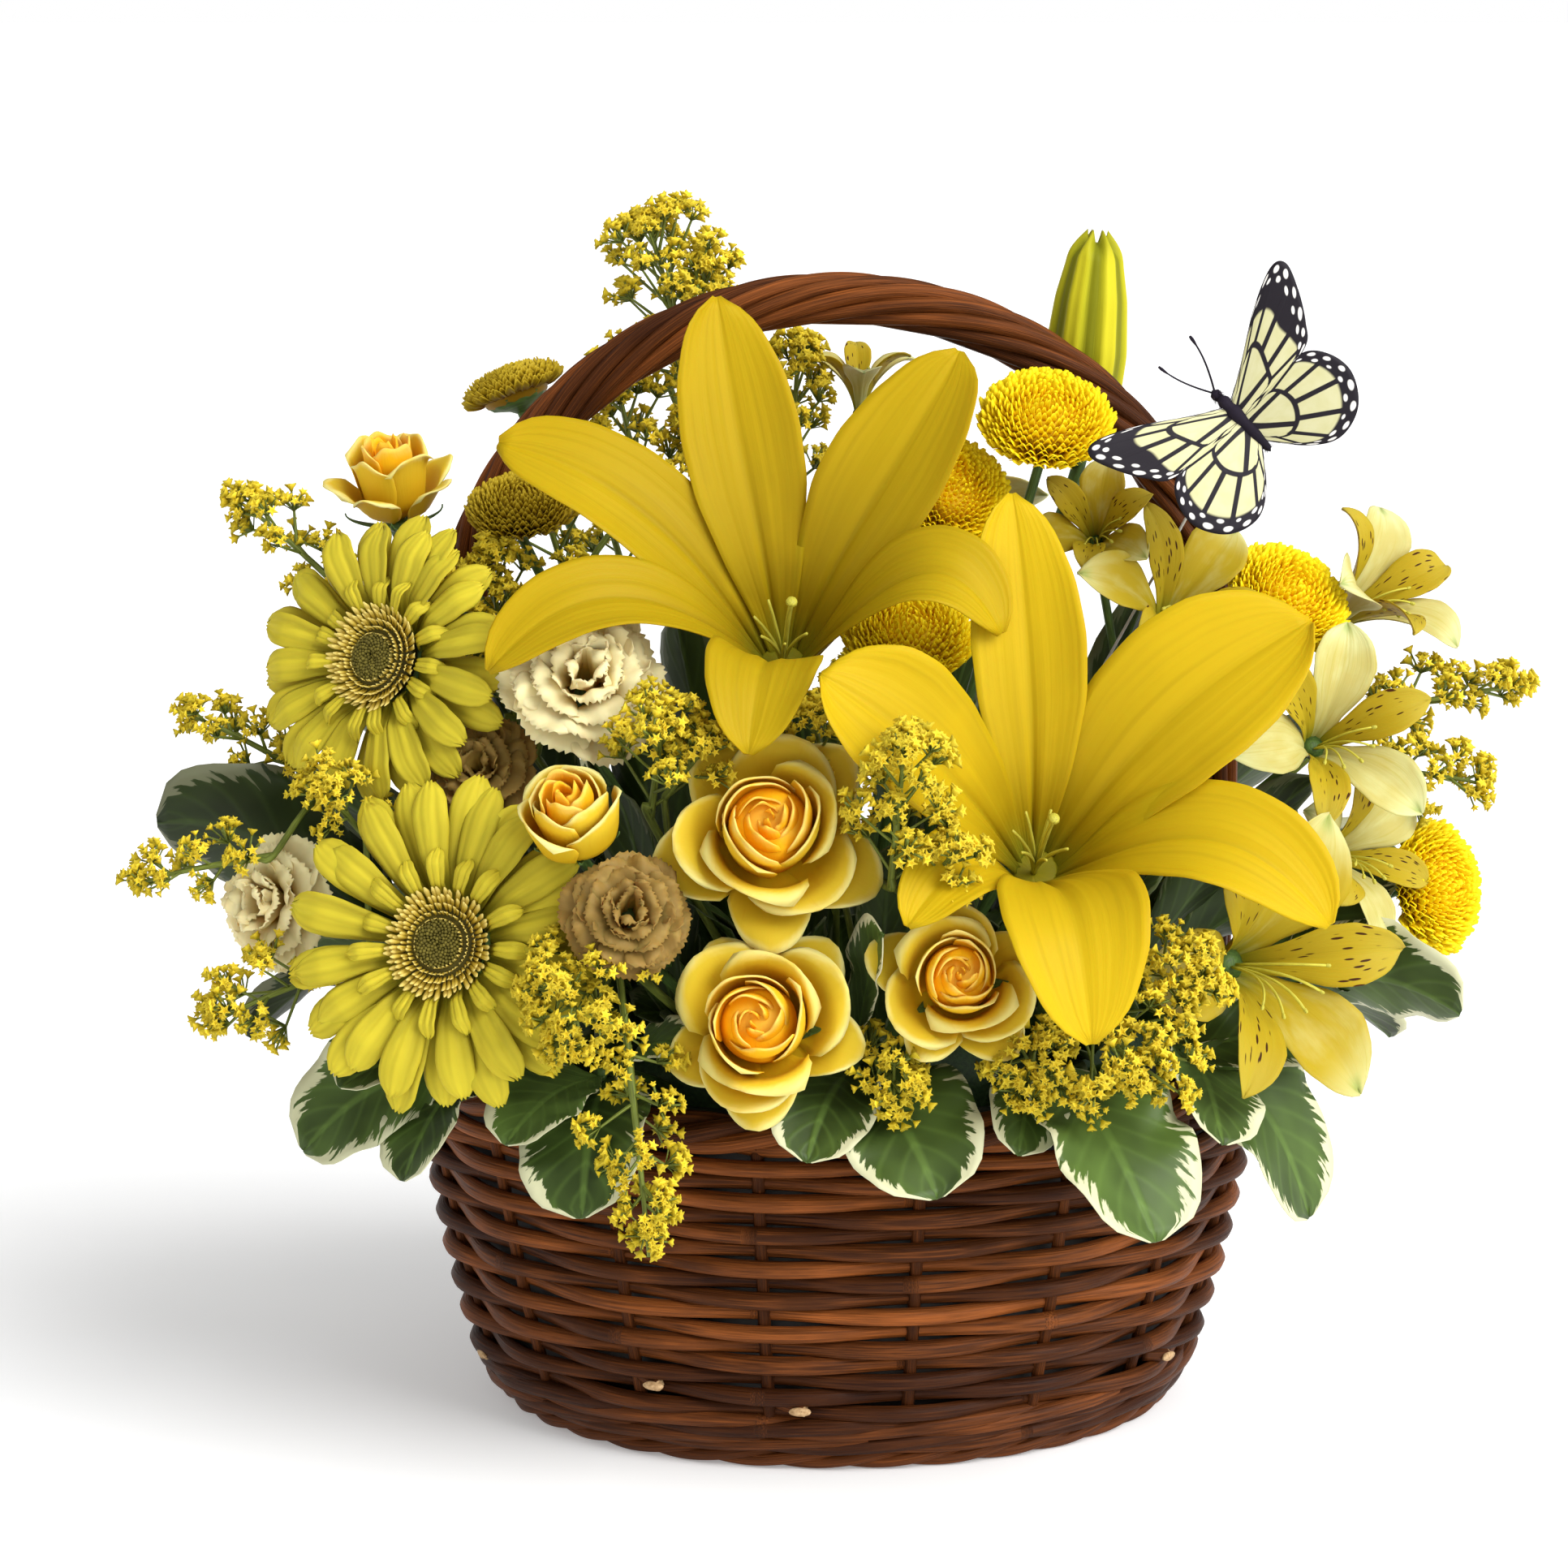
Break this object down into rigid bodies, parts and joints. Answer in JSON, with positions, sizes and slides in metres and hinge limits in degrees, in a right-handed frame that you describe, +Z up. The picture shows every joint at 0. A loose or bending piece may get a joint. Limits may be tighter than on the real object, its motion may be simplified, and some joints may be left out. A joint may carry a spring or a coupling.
{
  "type": "flower basket arrangement",
  "caption": "Oval woven willow basket with a twisted hoop handle, holding lilies, gerberas, roses, button mums, alstroemeria, carnations, goldenrod, pittosporum and a butterfly pick.",
  "frame": {"origin": "on the surface that the basket stands on, under the middle of the basket", "axes": "+X to the right along the basket's long side, +Y to the back, +Z up; the front of the arrangement faces -Y"},
  "size_m": [0.435, 0.3098, 0.382],
  "materials": {
    "willow": "stained willow with a low sheen",
    "willow_dark": "stained willow, dull",
    "liner": "thin moulded plastic",
    "foam": "open-celled floral foam, dull",
    "lily_petal": "satin petal",
    "lily_bud": "waxy bud",
    "gerbera_petal": "satin ray",
    "gerbera_eye": "velvety florets",
    "rose_petal": "velvety petal",
    "mum_petal": "matte florets",
    "alstroemeria_petal": "satin petal with brown flecks",
    "carnation_petal": "matte ruffled petal",
    "goldenrod_floret": "matte florets",
    "leaf": "glossy leaf with a cream edge",
    "wing": "printed feather wing, pale with black veins",
    "butterfly_body": "bound dark thread",
    "wire": "thin painted wire"
  },
  "bodies": {
    "root": {"alstroemeria_back": "alstroemeria_petal", "alstroemeria_far": "alstroemeria_petal", "alstroemeria_front": "alstroemeria_petal", "alstroemeria_middle": "alstroemeria_petal", "alstroemeria_right": "alstroemeria_petal", "basket_base": "willow_dark", "basket_rim": "willow", "basket_side": "willow", "butterfly_body": "butterfly_body", "butterfly_wings": "wing", "butterfly_wire": "wire", "carnation_back": "carnation_petal", "carnation_between": "carnation_petal", "carnation_left": "carnation_petal", "carnation_low": "carnation_petal", "carnation_upper": "carnation_petal", "foam": "foam", "gerbera_lower": "gerbera_petal", "gerbera_lower_eye": "gerbera_eye", "gerbera_upper": "gerbera_petal", "gerbera_upper_eye": "gerbera_eye", "goldenrod_back": "goldenrod_floret", "goldenrod_centre": "goldenrod_floret", "goldenrod_front": "goldenrod_floret", "goldenrod_hanging": "goldenrod_floret", "goldenrod_inner": "goldenrod_floret", "goldenrod_left": "goldenrod_floret", "goldenrod_left_low": "goldenrod_floret", "goldenrod_left_upper": "goldenrod_floret", "goldenrod_middle": "goldenrod_floret", "goldenrod_right": "goldenrod_floret", "goldenrod_top": "goldenrod_floret", "goldenrod_under_handle": "goldenrod_floret", "handle": "willow", "leaves_back_left": "leaf", "leaves_back_right": "leaf", "leaves_far_right": "leaf", "leaves_front": "leaf", "leaves_front_left": "leaf", "leaves_front_right": "leaf", "leaves_left": "leaf", "leaves_left_low": "leaf", "leaves_right": "leaf", "lily_bud": "lily_bud", "lily_left": "lily_petal", "lily_right": "lily_petal", "liner": "liner", "mum_back": "mum_petal", "mum_behind_handle": "mum_petal", "mum_crown_left": "mum_petal", "mum_crown_right": "mum_petal", "mum_far_right": "mum_petal", "mum_middle": "mum_petal", "mum_right": "mum_petal", "mum_under_lily": "mum_petal", "rose_bud": "rose_petal", "rose_left": "rose_petal", "rose_low": "rose_petal", "rose_right": "rose_petal", "rose_top": "rose_petal"}
  },
  "joints": []
}
